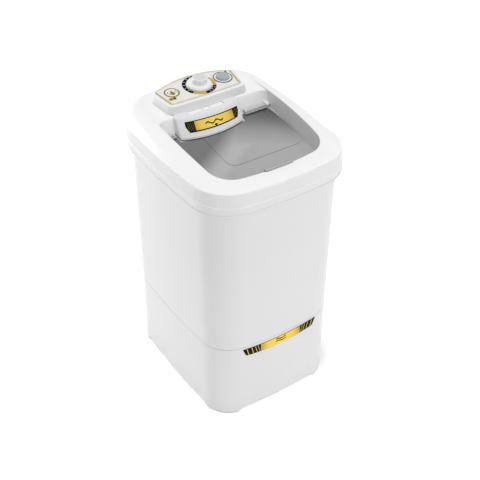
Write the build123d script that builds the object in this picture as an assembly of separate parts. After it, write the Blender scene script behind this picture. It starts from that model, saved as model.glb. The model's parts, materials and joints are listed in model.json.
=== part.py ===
from build123d import *
import os
from math import cos, radians, sin

# Semi-automatic top load washing machine: a moulded body with a sunk lid and a console at the back.
# Millimetres, +Z up, front facing -Y. Origin: on the floor under the middle of the top moulding.

# ---- driving dimensions -----------------------------------------------------------------------
SPLIT_Z = 302            # joint between base and cabinet
SEAM = 1.2               # open gap of that joint
BODY_TOP_Z = 866         # top edge of the cabinet, hidden inside the collar
LIP_Z = 854              # lower edge of the collar
BAND_Z = 885             # step line round the collar
SHOULDER_Z = 930         # where the collar's side turns into the rim
BODY_WALL = 3.5
COLLAR_WALL = 3.5
DECK_SLOPE = 0.0845      # rise per millimetre towards the back
DECK_Z0 = 958.5          # height of the deck plane at y = 0
LID_SLOPE = 0.126
LID_Z0 = 911.0           # height of the lid's top face at y = 0
LID_THICK = 2.5
POCKET_FRONT = -251.5
THROAT_REAR = 56.0       # back edge of the opening into the tub
HINGE_Y = 84.0
HINGE_Z = 927.6
HINGE_R = 4.0            # hinge pin
HINGE_GAP = 0.05
PANEL_RISE = 28.6        # console top above the deck plane
PANEL_SHEET = 1.2
KNOB_AT = (4.0, 201.0)
BUTTON_AT = (94.0, 201.0)
EMBLEM_AT = (-97.0, 203.0)
KNOB_R = 42.0
BUTTON_R = 21.5
BUTTON_TRAVEL = 3.5
BOX_X = -24.0            # middle of the lint filter box
BOX_HALF = 116.5
CASSETTE_X = (-88.0, 40.0)
CASSETTE_Y = (107.0, 123.0)
DRIP_X = (-95.0, 45.0)   # opening under the lint filter box
DRIP_Y = (66.0, 112.0)
BOSS_X = 186.0           # inner face of the hinge ears
BOSS_R = 8.5             # their rounded top
BARREL_R = 7.0
BARREL_X = (160.0, 102.0)    # inner ends of the lid's hinge barrels, left and right of the filter box
PIN_X = (166.0, 198.0)
TUB_FLOOR_Z = 330        # underside of the tub's floor
TUB_WALL = 3.0
PULSATOR_R = 165.0
SHAFT_R = 8.0
RUN_GAP = 0.05           # radial clearance of a shaft in its bush
BELT_Z = 224.0
PULLEY_R = 130.0         # driven pulley, belt seat
MOTOR_PULLEY_R = 30.0
MOTOR_Y = 185.0
PULLEY_W = 18.0
DRAIN_AT = (155.0, 150.0)
DRAIN_OUT_Z = 120.0
DRAIN_R = 13.0
GLAND_AT = (140.0, 232.0)
GLAND_R = 8.0
REACH_Y = 317.0          # nothing at the back stands further out
FOOT_AT = [(sx * 195, sy * 240) for sx in (-1, 1) for sy in (-1, 1)]
COVER_X = (-170, 70)     # opening in the base's back wall
COVER_Z = (70, 250)
COVER_LAP = 18           # the cover reaches this far past the opening
BACK_CUT = (250, 330)    # range in y of every cut through the back wall
COVER_SCREWS = [(x, z) for x in (COVER_X[0] - 9, COVER_X[1] + 9) for z in (COVER_Z[0] + 8, COVER_Z[1] - 8)]
CONSOLE_SCREWS = [(-128, 215), (128, 215), (-115, 152), (115, 152)]
BOLT_RING_R = 58.0
HOUSING_BOLTS = [(BOLT_RING_R * cos(radians(a)), BOLT_RING_R * sin(radians(a))) for a in (0, 90, 180, 270)]
MOTOR_BOLTS = [(sx * 32, MOTOR_Y + sy * 20) for sx in (-1, 1) for sy in (-1, 1)]
CAPACITOR_AT = (-92.0, 150.0)
MOTOR_TOP_Z = 327.0      # the motor hangs from the bracket at this height
BRACKET_SHEET = 3.0

os.makedirs("parts", exist_ok=True)


# ---- shared shapes ----------------------------------------------------------------------------
def bowed_face(half_w, front, rear, corner_front, corner_rear, sag_side, sag_end, sag_rear=None):
    """Flat face with four slightly bowed sides and rounded corners."""
    side_x = half_w - sag_side
    front_y = front + sag_end
    rear_y = rear - (sag_end if sag_rear is None else sag_rear)
    middle = (front + rear) / 2
    edges = [
        ThreePointArc((-side_x, front_y), (0, front), (side_x, front_y)),
        ThreePointArc((side_x, front_y), (half_w, middle), (side_x, rear_y)),
        ThreePointArc((side_x, rear_y), (0, rear), (-side_x, rear_y)),
        ThreePointArc((-side_x, rear_y), (-half_w, middle), (-side_x, front_y)),
    ]
    face = make_face(edges)
    face = fillet([v for v in face.vertices() if v.Y < middle and abs(v.X) > 0.8 * side_x], corner_front)
    face = fillet([v for v in face.vertices() if v.Y > rear_y - 1], corner_rear)
    return face


def tilted(z0, slope):
    """Plane through (0, 0, z0) that rises towards the back."""
    return Plane(origin=(0, 0, z0), x_dir=(1, 0, 0), z_dir=(0, -slope, 1))


DECK = tilted(DECK_Z0, DECK_SLOPE)
LID = tilted(LID_Z0, LID_SLOPE)


def block(x, y, z):
    """Box from its low and high limits."""
    size = (x[1] - x[0], y[1] - y[0], z[1] - z[0])
    middle = ((x[0] + x[1]) / 2, (y[0] + y[1]) / 2, (z[0] + z[1]) / 2)
    return Pos(*middle) * Box(*size)


def rod(radius, z0, z1, x=0.0, y=0.0):
    """Upright cylinder between two heights."""
    return Pos(x, y, (z0 + z1) / 2) * Cylinder(radius, z1 - z0)


def tube(outer, inner, z0, z1, x=0.0, y=0.0):
    """Upright ring between two heights."""
    return rod(outer, z0, z1, x, y) - rod(inner, z0 - 1, z1 + 1, x, y)


def cross_rod(radius, x0, x1, y, z):
    """Cylinder along X."""
    return Pos((x0 + x1) / 2, y, z) * Rot(0, 90, 0) * Cylinder(radius, x1 - x0)


def back_rod(radius, y0, y1, x, z):
    """Cylinder along Y."""
    return Pos(x, (y0 + y1) / 2, z) * Rot(90, 0, 0) * Cylinder(radius, y1 - y0)


# ---- body outlines ----------------------------------------------------------------------------
def body_face(z, inset=0.0):
    """Outline of the tapered body at one height."""
    t = z / LIP_Z
    half_w = 248.4 + 6.1 * t - inset
    half_d = 296.9 + 2.3 * t - inset
    corner = 108 + 8 * t - inset
    return Pos(0, 0, z) * bowed_face(half_w, -half_d, half_d, corner, corner, 16.5, 20)


def body_solid(z0, z1, inset=0.0):
    return loft([body_face(z0, inset), body_face(z1, inset)])


def collar_face(half_w, half_d, corner, inset):
    half_w = half_w - inset
    half_d = half_d - inset
    return bowed_face(half_w, -half_d, half_d, corner - inset, corner - inset, 18, 24)


def crest_face(inset=0.0):
    return bowed_face(205.9 - inset, POCKET_FRONT + inset, 285.5 - inset, 80 - inset, 64 - inset, 14, 20)


def collar_stack(inset):
    """Solid envelope of the collar, shrunk by inset all round and on top."""
    lip = Pos(0, 0, LIP_Z - inset) * collar_face(271.8, 316.5, 130.5, inset)
    band_low = Pos(0, 0, BAND_Z) * collar_face(273.3, 318.0, 132, inset)
    band = Pos(0, 0, BAND_Z) * collar_face(271.2, 315.9, 130, inset)
    shoulder = Pos(0, 0, SHOULDER_Z - inset) * collar_face(267.9, 312.6, 126.5, inset)
    middle_plane = tilted(954.8 - inset, 0.062)
    middle = middle_plane * bowed_face(239 - inset, -285 + inset, 301 - inset,
                                       105 - inset, 98 - inset, 16, 22)
    crest = tilted(DECK_Z0 - inset, DECK_SLOPE) * crest_face(inset)
    return loft([lip, band_low]) + loft([band, shoulder]) + loft([shoulder, middle, crest])


def pocket_solid(inset, low=0.0):
    """The sunk pocket above the lid's seat; a negative inset gives the wall's outside."""
    seat = tilted(LID_Z0 - LID_THICK - 1.2 - low, LID_SLOPE)
    floor = seat * bowed_face(199.5 - inset, -250.5 + inset, 94 - inset, 74 - inset, 16 - inset, 7, 20, 3)
    rise = 30.0
    top = tilted(DECK_Z0 + rise, DECK_SLOPE) * bowed_face(208 - inset, -256 + inset, 138 - inset,
                                                          80 - inset, 30 - inset, 12, 20, 3)
    return loft([floor, top])


def box_face(inset, low):
    """Outline of the lint filter box: bowed forward, at its top or at its foot."""
    if low:
        x0, x1, front, bow = BOX_X - BOX_HALF - 10, BOX_X + BOX_HALF - 8, 58, 22
    else:
        x0, x1, front, bow = BOX_X - BOX_HALF, BOX_X + BOX_HALF, 104, 12
    x0 = x0 + inset
    x1 = x1 - inset
    front = front + inset
    rear = 127 - inset
    edges = [
        ThreePointArc((x0, front), ((x0 + x1) / 2, front - bow), (x1, front)),
        Line((x1, front), (x1, rear)),
        Line((x1, rear), (x0, rear)),
        Line((x0, rear), (x0, front)),
    ]
    face = make_face(edges)
    return fillet([v for v in face.vertices() if v.Y < front + 1], 8)


def box_solid(inset):
    foot = tilted(LID_Z0 + 1.0 + inset, LID_SLOPE) * box_face(inset, True)
    top = tilted(DECK_Z0 - inset, DECK_SLOPE) * box_face(inset, False)
    return loft([foot, top])


# ---- body -------------------------------------------------------------------------------------
def make_base():
    outer = body_solid(2.5, SPLIT_Z)
    shell = outer - body_solid(1.0, SPLIT_Z + 1, BODY_WALL)
    shell = shell + split_tongue() + corner_webs()
    for side in (-1, 1):
        shell = shell - arch_cutter(300, 0, side)
        shell = shell - arch_cutter(390, 90, side)
    for x, y in FOOT_AT:
        shell = shell - rod(5.3, 0, 20, x, y)
    shell = shell - block(COVER_X, BACK_CUT, COVER_Z)
    for x, z in COVER_SCREWS:
        shell = shell - back_rod(2.3, *BACK_CUT, x, z)
    shell = shell - back_rod(GLAND_R + 0.05, *BACK_CUT, *GLAND_AT)
    return shell - back_rod(DRAIN_R + 3.3, *BACK_CUT, DRAIN_AT[0], DRAIN_OUT_Z)


def split_tongue():
    """Inner collar of the base that the cabinet slips over, joined to the wall by a ledge."""
    z = SPLIT_Z
    tongue = body_solid(z - 6, z + 12, BODY_WALL + 0.4) - body_solid(z - 7, z + 13, BODY_WALL + 3.0)
    ledge = body_solid(z - 6, z - 2, BODY_WALL - 1) - body_solid(z - 7, z, BODY_WALL + 3.0)
    return tongue + ledge


def corner_webs():
    """Plates in the base's four corners that the feet go into."""
    corners = [block((x - 65, x + 65), (y - 75, y + 75), (9, 13)) for x in (-220, 220) for y in (-260, 260)]
    webs = Compound(children=corners) & body_solid(8, 14, BODY_WALL - 1)
    return webs


def arch_cutter(width, turn, side):
    """Low flat arch under one side of the base."""
    height = 14.0
    shape = make_face(Polyline((-width / 2 - 14, -1), (width / 2 + 14, -1), (width / 2, height),
                               (-width / 2, height), close=True))
    shape = fillet([v for v in shape.vertices() if v.Y > 1], 12)
    prism = extrude(Plane.XZ * shape, amount=110 * side)
    prism = Pos(0, -210 * side if turn == 0 else -170 * side, 0) * prism
    return Rot(0, 0, turn) * prism


def make_foot_pads():
    pads = []
    for x, y in FOOT_AT:
        pads.append(rod(19, 0, 8.8, x, y) + rod(5, 8, 20, x, y))
    return Compound(children=pads)


def make_cabinet():
    shell = body_solid(SPLIT_Z + SEAM, BODY_TOP_Z) - body_solid(SPLIT_Z - 1, BODY_TOP_Z + 1, BODY_WALL)
    return shell


def make_rear_cover():
    low = COVER_Z[0] - COVER_LAP
    high = COVER_Z[1] + COVER_LAP
    skin = body_solid(low, high, -2.7) - body_solid(low - 1, high + 1, -0.2)
    cover = skin & block((COVER_X[0] - COVER_LAP, COVER_X[1] + COVER_LAP), BACK_CUT, (low, high))
    for x, z in COVER_SCREWS:
        cover = cover - back_rod(2.3, *BACK_CUT, x, z)
    for row in range(7):
        z = 110 + 17 * row
        cover = cover - block((-110, 10), BACK_CUT, (z, z + 5))
    return cover


def make_cover_screws():
    screws = []
    for x, z in COVER_SCREWS:
        skin_y = 300.8 - x * x / 2700
        head = back_rod(4.5, skin_y, skin_y + 2.4, x, z)
        slot = block((x - 3.4, x + 3.4), (skin_y + 1.4, skin_y + 4), (z - 0.5, z + 0.5))
        screws.append(head + back_rod(2.1, skin_y - 10, skin_y + 0.5, x, z) - slot)
    return Compound(children=screws)


def make_collar():
    shell = collar_stack(0) - collar_stack(COLLAR_WALL)
    wall = pocket_solid(-COLLAR_WALL, COLLAR_WALL) & collar_stack(0)
    under_seat = tilted(LID_Z0 - 5, LID_SLOPE) * block((-300, 300), (-300, 300), (-120, 0))
    throat = throat_solid(COLLAR_WALL, 845, 913) & under_seat
    collar = shell + wall + flange_seat() + throat
    collar = collar - pocket_solid(0)
    for side in (-1, 1):
        pin_x = sorted((side * (BOSS_X - 5), side * (PIN_X[1] + 1)))
        collar = collar + hinge_ear(side)
        collar = collar - cross_rod(HINGE_R + 0.02, *pin_x, HINGE_Y, HINGE_Z)
    collar = collar - throat_solid(0, 840, 930)
    collar = collar - box_solid(-0.4)
    collar = collar - block(DRIP_X, DRIP_Y, (880, 960))
    return collar - (DECK * block((-136, 136), (144, 250), (-20, 10)))


def hinge_ear(side):
    """Rounded ear in a rear corner of the pocket that holds one hinge pin."""
    x = sorted((side * BOSS_X, side * (BOSS_X + 15)))
    ear = cross_rod(BOSS_R, *x, HINGE_Y, HINGE_Z)
    ear = ear + block(x, (HINGE_Y - BOSS_R, HINGE_Y + 26), (890, HINGE_Z))
    ear = ear + block(x, (HINGE_Y, HINGE_Y + 26), (890, HINGE_Z + BOSS_R))
    return ear & pocket_solid(-1.0, 2.0)


def flange_seat():
    """Ring inside the collar that bears on the tub's flange."""
    outer = Pos(0, 0, 869) * extrude(collar_face(271, 315.7, 129, 1.5), 4)
    inner = Pos(0, 0, 868) * extrude(bowed_face(246, -291, 291, 100, 100, 16.5, 20), 6)
    return outer - inner


def throat_solid(grow, z0, z1):
    """Opening from the pocket down into the tub."""
    face = bowed_face(184 + grow, -236 - grow, THROAT_REAR + grow, 62 + grow, 40 + grow, 8, 16, 4)
    return Pos(0, 0, z0) * extrude(face, z1 - z0)


# ---- tub --------------------------------------------------------------------------------------
def tub_face(z, inset=0.0):
    t = (z - TUB_FLOOR_Z) / (BODY_TOP_Z - TUB_FLOOR_Z)
    half_w = 220 + 17 * t - inset
    half_d = 262 + 19 * t - inset
    corner = 90 + 10 * t - inset
    return Pos(0, 0, z) * bowed_face(half_w, -half_d, half_d, corner, corner, 14, 18)


def make_wash_tub():
    outer = loft([tub_face(TUB_FLOOR_Z), tub_face(BODY_TOP_Z)])
    inner = loft([tub_face(TUB_FLOOR_Z + 4, TUB_WALL), tub_face(BODY_TOP_Z + 4, TUB_WALL)])
    flange = extrude(body_face(BODY_TOP_Z, 1.0), 3)
    tub = outer + flange - inner
    tub = tub - rod(24, 320, 340)
    tub = tub - rod(DRAIN_R - 2.5, 320, 340, *DRAIN_AT)
    return tub


def make_splash_shield():
    plate = Pos(0, 0, 873) * extrude(bowed_face(262, -306, 306, 122, 122, 18, 24), 3)
    plate = plate & block((-300, 300), (THROAT_REAR + 8, 320), (860, 890))
    return plate - block(DRIP_X, DRIP_Y, (860, 890))


# ---- console ----------------------------------------------------------------------------------
def console_face(grow):
    """Console outline: straight-sided, wider at the back, with an arched back."""
    front_x = 141 + grow
    rear_x = 153 + grow
    front = 131 - grow
    rear = 272 + grow
    shoulder = 226
    edges = [
        ThreePointArc((-front_x, front + 3), (0, front), (front_x, front + 3)),
        Line((front_x, front + 3), (rear_x, shoulder)),
        ThreePointArc((rear_x, shoulder), (0, rear), (-rear_x, shoulder)),
        Line((-rear_x, shoulder), (-front_x, front + 3)),
    ]
    face = make_face(edges)
    face = fillet([v for v in face.vertices() if v.Y < shoulder - 10], 18 + grow)
    return fillet([v for v in face.vertices() if abs(v.X) > rear_x - 1], 14 + grow)


def console_hull(inset, z0, z1):
    foot = Pos(0, 0, z0) * console_face(6 - inset)
    top = Pos(0, 0, z1) * console_face(-inset)
    return loft([foot, top])


def make_console():
    top = PANEL_RISE - PANEL_SHEET
    outer = console_hull(0, 0.2, top)
    outer = fillet(outer.faces().sort_by(Axis.Z)[-1].edges(), 4)
    shell = outer - console_hull(3, -0.8, top - 3)
    shell = shell - rod(13, 0, 60, *KNOB_AT)
    shell = shell - rod(BUTTON_R + 0.9, 0, 60, *BUTTON_AT)
    for x, y in CONSOLE_SCREWS:
        shell = shell + tube(6, 1.6, 0.2, top - 2.5, x, y)
    return DECK * shell


def make_console_screws():
    screws = [rod(5, -6.6, -3.9, x, y) + rod(1.5, -4.5, 12, x, y) for x, y in CONSOLE_SCREWS]
    return DECK * Compound(children=screws)


def make_control_panel():
    top = PANEL_RISE - PANEL_SHEET
    sheet = Pos(0, 0, top) * extrude(console_face(-6), PANEL_SHEET)
    sheet = sheet - rod(13, 0, 60, *KNOB_AT)
    sheet = sheet - rod(BUTTON_R + 0.9, 0, 60, *BUTTON_AT)
    return DECK * sheet


def make_dial_scale():
    return DECK * tube(55, 43.5, PANEL_RISE, PANEL_RISE + 0.5, *KNOB_AT)


def make_console_emblem():
    disc = rod(25.5, PANEL_RISE, PANEL_RISE + 0.8, *EMBLEM_AT)
    flag = Pos(EMBLEM_AT[0] + 6, EMBLEM_AT[1] - 29, PANEL_RISE + 0.4) * Box(22, 12, 0.8)
    return DECK * (disc + flag)


def make_timer_body():
    top = PANEL_RISE - PANEL_SHEET - 3
    body = Pos(KNOB_AT[0], KNOB_AT[1], top - 19) * Box(62, 58, 38)
    body = fillet(body.edges().filter_by(Axis.Z), 5)
    neck = rod(9, top - 1, top + 4, *KNOB_AT)
    bore = rod(3 + RUN_GAP, top - 24, top + 10, *KNOB_AT)
    return DECK * (body + neck - bore)


def make_timer_shaft():
    return DECK * rod(3, 4, PANEL_RISE + 22, *KNOB_AT)


def make_timer_knob():
    foot = PANEL_RISE + 0.9
    outline = make_face(Polyline((0, 0), (KNOB_R, 0), (KNOB_R, 3.5), (38, 8.5), (26, 11), (23, 27),
                                 (20, 29), (0, 29), close=True))
    knob = revolve(Plane.XZ * outline, Axis.Z)
    for turn in range(12):
        flute = Rot(0, 0, 30 * turn) * Pos(26.5, 0, 21) * Cylinder(2.2, 22)
        knob = knob - flute
    knob = knob - rod(20.4, 27.4, 30)
    knob = knob - rod(3.02, -1, PANEL_RISE + 22.1 - foot)
    return DECK * (Pos(KNOB_AT[0], KNOB_AT[1], foot) * knob)


def make_knob_cap():
    foot = PANEL_RISE + 0.9
    disc = rod(20.2, 27.45, 29.2)
    mark = block((-1.5, 1.5), (8, 18.5), (29, 29.9))
    return DECK * (Pos(KNOB_AT[0], KNOB_AT[1], foot) * (disc + mark))


def make_push_button():
    stem_foot = PANEL_RISE - PANEL_SHEET - 3 - 10
    outline = make_face(Polyline((0, 0), (BUTTON_R, 0), (BUTTON_R, 12), (BUTTON_R - 1.2, 14.2),
                                 (12, 15.6), (0, 16.2), close=True))
    body = Pos(BUTTON_AT[0], BUTTON_AT[1], PANEL_RISE - 6) * revolve(Plane.XZ * outline, Axis.Z)
    return DECK * (body + rod(4, stem_foot, PANEL_RISE - 5, *BUTTON_AT))


def make_button_bezel():
    ring = tube(31, BUTTON_R + 0.6, PANEL_RISE, PANEL_RISE + 1.4, *BUTTON_AT)
    return DECK * ring


def make_button_switch():
    top = PANEL_RISE - PANEL_SHEET - 3 - 8
    body = Pos(BUTTON_AT[0], BUTTON_AT[1], top - 13) * Box(32, 32, 26)
    return DECK * (body - rod(4.4, top - 9, top + 1, *BUTTON_AT))


# ---- lint filter ------------------------------------------------------------------------------
def make_filter_housing():
    outer = box_solid(0)
    outer = fillet(outer.faces().sort_by(Axis.Z)[-1].edges(), 3)
    shell = outer - box_solid(3)
    shell = shell - block((CASSETTE_X[0] - 0.6, CASSETTE_X[1] + 0.6),
                          (CASSETTE_Y[0] - 0.6, CASSETTE_Y[1] + 0.6), (900, 990))
    return shell


def make_filter_cassette():
    top = DECK_Z0 + DECK_SLOPE * CASSETTE_Y[0]
    body = block(CASSETTE_X, CASSETTE_Y, (926, top - 0.6))
    body = body - block((CASSETTE_X[0] + 3, CASSETTE_X[1] - 3), (CASSETTE_Y[0] + 3, CASSETTE_Y[1] + 2),
                        (929, top - 8))
    for side in (-1, 1):
        x = (CASSETTE_X[0] + CASSETTE_X[1]) / 2 + 14 * side
        body = body - Pos(x, CASSETTE_Y[0] + 8, top - 0.6) * Sphere(5)
    return body


def make_filter_mesh():
    frame = block((CASSETTE_X[0] + 3.2, CASSETTE_X[1] - 3.2), (CASSETTE_Y[1] - 3, CASSETTE_Y[1] - 1.5),
                  (929.2, 958))
    columns = 12
    rows = 3
    step = (CASSETTE_X[1] - CASSETTE_X[0] - 14) / columns
    for i in range(columns):
        for j in range(rows):
            x = CASSETTE_X[0] + 7 + step * (i + 0.5)
            z = 934.5 + 9 * j
            frame = frame - block((x - 0.38 * step, x + 0.38 * step), (100, 130), (z - 3.6, z + 3.6))
    return frame


# ---- lid --------------------------------------------------------------------------------------
def make_lid():
    plate = bowed_face(198, -247.5, HINGE_Y - 1, 72, 10, 6, 20, 3)
    lid = extrude(plate, -LID_THICK)
    for side in (-1, 1):
        beyond = sorted((side * (BOSS_X - 1.2), side * 210))
        lid = lid - block(beyond, (HINGE_Y - BOSS_R - 3, 120), (-10, 10))
    field = bowed_face(136, -128, 66, 30, 10, 0.5, 0.5)
    lid = lid + Pos(50, 0, 0) * extrude(field, 1.6)
    lid = lid - Pos(BOX_X - 1, 0, -10) * extrude(lid_notch(), 20)
    lid = LID * lid
    below_lid = LID * block((-300, 300), (-300, 300), (-40, -LID_THICK))
    for side, inner in zip((-1, 1), BARREL_X):
        x = sorted((side * inner, side * (BOSS_X - 1.2)))
        bore_x = sorted((side * (PIN_X[0] - 1), side * BOSS_X))
        arm = block(x, (HINGE_Y - 15, HINGE_Y), (HINGE_Z - BARREL_R, HINGE_Z - 2)) - below_lid
        lid = lid + cross_rod(BARREL_R, *x, HINGE_Y, HINGE_Z) + arm
        lid = lid - cross_rod(HINGE_R + HINGE_GAP, *bore_x, HINGE_Y, HINGE_Z)
    grip = block((-48, 48), (-245.5, -242.5), (878.5, 942))
    lip = block((-48, 48), (-257, -242.5), (939.6, 942.2))
    rib = block((-38, 38), (-246, -243), (941, 943.6))
    return lid + grip + lip + rib


def lid_notch():
    """Cut-out of the lid round the foot of the lint filter box."""
    x0 = -BOX_HALF - 13
    x1 = BOX_HALF - 3
    edges = [
        ThreePointArc((x0, 53), ((x0 + x1) / 2, 31), (x1, 53)),
        Line((x1, 53), (x1, 120)),
        Line((x1, 120), (x0, 120)),
        Line((x0, 120), (x0, 53)),
    ]
    return make_face(edges)


def make_hinge_pin(side):
    return cross_rod(HINGE_R, *sorted((side * PIN_X[0], side * PIN_X[1])), HINGE_Y, HINGE_Z)


def make_lid_bumpers():
    pads = []
    for x, y in ((-100, -237), (100, -237), (-190, -60), (190, -60)):
        pads.append(rod(3.5, -LID_THICK - 1.15, -LID_THICK - 0.02, x, y))
    return LID * Compound(children=pads)


# ---- washing parts ----------------------------------------------------------------------------
def make_pulsator():
    outline = make_face(Polyline((0, 342), (PULSATOR_R - 6, 342), (PULSATOR_R, 346), (PULSATOR_R - 2, 350),
                                 (110, 356), (60, 366), (40, 378), (0, 380), close=True))
    body = revolve(Plane.XZ * outline, Axis.Z)
    fin = make_face(Polyline((30, 350), (158, 348), (150, 362), (95, 376), (30, 392), close=True))
    for turn in range(6):
        body = body + Rot(0, 0, 60 * turn) * (Pos(0, 5, 0) * extrude(Plane.XZ * fin, 10))
    hollow = make_face(Polyline((26, 341), (154, 341), (154, 346), (104, 351), (52, 361), (26, 363),
                                close=True))
    body = body - revolve(Plane.XZ * hollow, Axis.Z)
    body = body - rod(34, 376, 400)
    body = body - rod(SHAFT_R + 0.02, 330, 366.2)
    body = body - rod(4.2, 360, 380)
    return body


def make_pulsator_bolt():
    head = Pos(0, 0, 378.6) * extrude(RegularPolygon(7.5, 6), 5)
    return head + rod(4, 352, 379)


def make_pulsator_cap():
    cap = rod(33.6, 385, 389)
    cap = fillet(cap.faces().sort_by(Axis.Z)[-1].edges(), 3)
    return cap + tube(33.6, 30, 376.2, 386)


def make_drive_shaft():
    shaft = rod(SHAFT_R, 206, 366)
    return shaft - rod(4.05, 351, 370)


def make_shaft_seal():
    return tube(23.8, SHAFT_R + RUN_GAP, 330, 338)


def make_bearing_housing():
    body = rod(26, 250, 322) + rod(70, 322, 330)
    for turn in range(4):
        web = make_face(Polyline((20, 256), (28, 256), (66, 322), (20, 322), close=True))
        body = body + Rot(0, 0, 90 * turn + 45) * (Pos(0, 3, 0) * extrude(Plane.XZ * web, 6))
    body = body - rod(17.55, 298, 312) - rod(17.55, 249, 264) - rod(SHAFT_R + 3, 240, 340)
    for x, y in HOUSING_BOLTS:
        body = body - rod(3.3, 320, 332, x, y)
    return body


def make_bearing(z0):
    return tube(17.5, SHAFT_R + RUN_GAP, z0, z0 + 11)


def make_housing_bolts():
    bolts = []
    for x, y in HOUSING_BOLTS:
        head = Pos(x, y, 317.5) * extrude(RegularPolygon(6, 6), 4.4)
        bolts.append(head + rod(3, 321, 329.8, x, y))
    return Compound(children=bolts)


# ---- drive ------------------------------------------------------------------------------------
def pulley(radius, hub_r, bore_r, spokes):
    """Grooved wheel about Z, middle of its groove at z = 0."""
    half = PULLEY_W / 2
    outline = make_face(Polyline((bore_r, -half), (radius + 4, -half), (radius - 3, -2.5), (radius - 3, 2.5),
                                 (radius + 4, half), (bore_r, half), close=True))
    wheel = revolve(Plane.XZ * outline, Axis.Z)
    for turn in range(spokes):
        hole_r = (radius - hub_r) * 0.26
        middle = hub_r + (radius - hub_r) * 0.48
        wheel = wheel - Rot(0, 0, 360 / spokes * turn) * rod(hole_r, -20, 20, middle)
    return wheel


def make_driven_pulley():
    return Pos(0, 0, BELT_Z) * pulley(PULLEY_R, 24, SHAFT_R + 0.02, 6)


def make_pulley_nut():
    nut = Pos(0, 0, 207) * extrude(RegularPolygon(15, 6), 7.8)
    return nut - rod(SHAFT_R + 0.02, 200, 220)


def make_motor_pulley():
    return Pos(0, MOTOR_Y, BELT_Z) * pulley(MOTOR_PULLEY_R, 14, 6.02, 0)


def make_motor_shaft():
    return rod(6, 210, 300, 0, MOTOR_Y)


def make_drive_belt():
    """Belt as two straight runs and two wraps, just clear of both grooves."""
    gap = 0.6
    thick = 6.0
    outer = belt_loop(gap + thick)
    inner = belt_loop(gap)
    return Pos(0, 0, BELT_Z - 2.2) * extrude(outer - inner, 4.4)


def belt_loop(grow):
    big = PULLEY_R - 3 + grow
    small = MOTOR_PULLEY_R - 3 + grow
    lean = (big - small) / MOTOR_Y
    level = (1 - lean * lean) ** 0.5
    sides = Polyline((big * level, big * lean), (small * level, MOTOR_Y + small * lean),
                     (-small * level, MOTOR_Y + small * lean), (-big * level, big * lean), close=True)
    return Circle(big) + Pos(0, MOTOR_Y) * Circle(small) + make_face(sides)


def make_motor_body():
    body = rod(58, 240, 320, 0, MOTOR_Y)
    body = fillet(body.faces().sort_by(Axis.Z)[0].edges(), 8)
    body = body + rod(20, 236, 242, 0, MOTOR_Y) + rod(44, 318, MOTOR_TOP_Z, 0, MOTOR_Y)
    for turn in range(24):
        groove = Rot(0, 0, 15 * turn) * Pos(58, 0, 0) * Box(3, 2.5, 46)
        body = body - Pos(0, MOTOR_Y, 282) * groove
    return body - rod(6 + RUN_GAP, 230, 302, 0, MOTOR_Y)


def make_motor_bracket():
    plate = block((-120, 120), (78, 248), (MOTOR_TOP_Z, MOTOR_TOP_Z + BRACKET_SHEET))
    plate = fillet(plate.edges().filter_by(Axis.Z), 12)
    for sx in (-1, 1):
        plate = plate + block(sorted((sx * 117, sx * 120)), (90, 236), (312, MOTOR_TOP_Z + 1))
    for x, y in MOTOR_BOLTS:
        plate = plate - rod(3.3, 320, 335, x, y)
    return plate - rod(16.5, 320, 335, *DRAIN_AT)


def make_motor_bolts():
    return Compound(children=[rod(3, MOTOR_TOP_Z + 0.2, MOTOR_TOP_Z + 3, x, y) for x, y in MOTOR_BOLTS])


def make_capacitor():
    can = rod(20, 262, 322, *CAPACITOR_AT)
    return fillet(can.edges(), 2) + rod(3, 320, MOTOR_TOP_Z, *CAPACITOR_AT)


def make_capacitor_clip():
    x, y = CAPACITOR_AT
    strap = block((x - 3, x + 3), (y + 21, y + 30), (284, MOTOR_TOP_Z))
    return tube(21.6, 20.2, 284, 300, x, y) + strap


def make_drain_pipe():
    """Elbow pipe from the tub's floor to the spigot at the back."""
    x, y = DRAIN_AT
    path = FilletPolyline((x, y, TUB_FLOOR_Z), (x, y, DRAIN_OUT_Z), (x, REACH_Y, DRAIN_OUT_Z), radius=32)
    start = Plane(origin=(x, y, TUB_FLOOR_Z), z_dir=(0, 0, -1))
    outer = sweep(start * Circle(DRAIN_R), path)
    inner = sweep(start * Circle(DRAIN_R - 2.5), path)
    stop = back_rod(DRAIN_R + 2.5, REACH_Y - 20, REACH_Y - 17, x, DRAIN_OUT_Z)
    return outer + stop - inner


def make_drain_gasket():
    x = DRAIN_AT[0]
    ring = back_rod(DRAIN_R + 3.1, 276, 297, x, DRAIN_OUT_Z)
    ring = ring + back_rod(DRAIN_R + 8, 270, 276, x, DRAIN_OUT_Z)
    ring = ring - back_rod(DRAIN_R + 0.05, 260, 300, x, DRAIN_OUT_Z)
    return ring & body_solid(60, 180, -1.5)


def make_cord_gland():
    """Inlet for the mains lead, in the base's back wall."""
    x, z = GLAND_AT
    flange = back_rod(12, 280, 295, x, z) - body_solid(z - 20, z + 20, -0.06)
    return flange + back_rod(GLAND_R, 280, 298, x, z) - back_rod(4, 270, 292, x, z)


# ---- plates -----------------------------------------------------------------------------------
def make_front_badge():
    skin = body_solid(250, SPLIT_Z, -1.4) - body_solid(249, SPLIT_Z + 1, -0.15)
    edges = [
        ThreePointArc((-148, 295.5), (0, 297), (148, 295.5)),
        Line((148, 295.5), (126, 262.5)),
        ThreePointArc((126, 262.5), (0, 255.5), (-126, 262.5)),
        Line((-126, 262.5), (-148, 295.5)),
    ]
    face = make_face(edges)
    face = fillet([v for v in face.vertices() if v.Y < 275], 12)
    return skin & extrude(Plane.XZ * face, 400)


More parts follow.
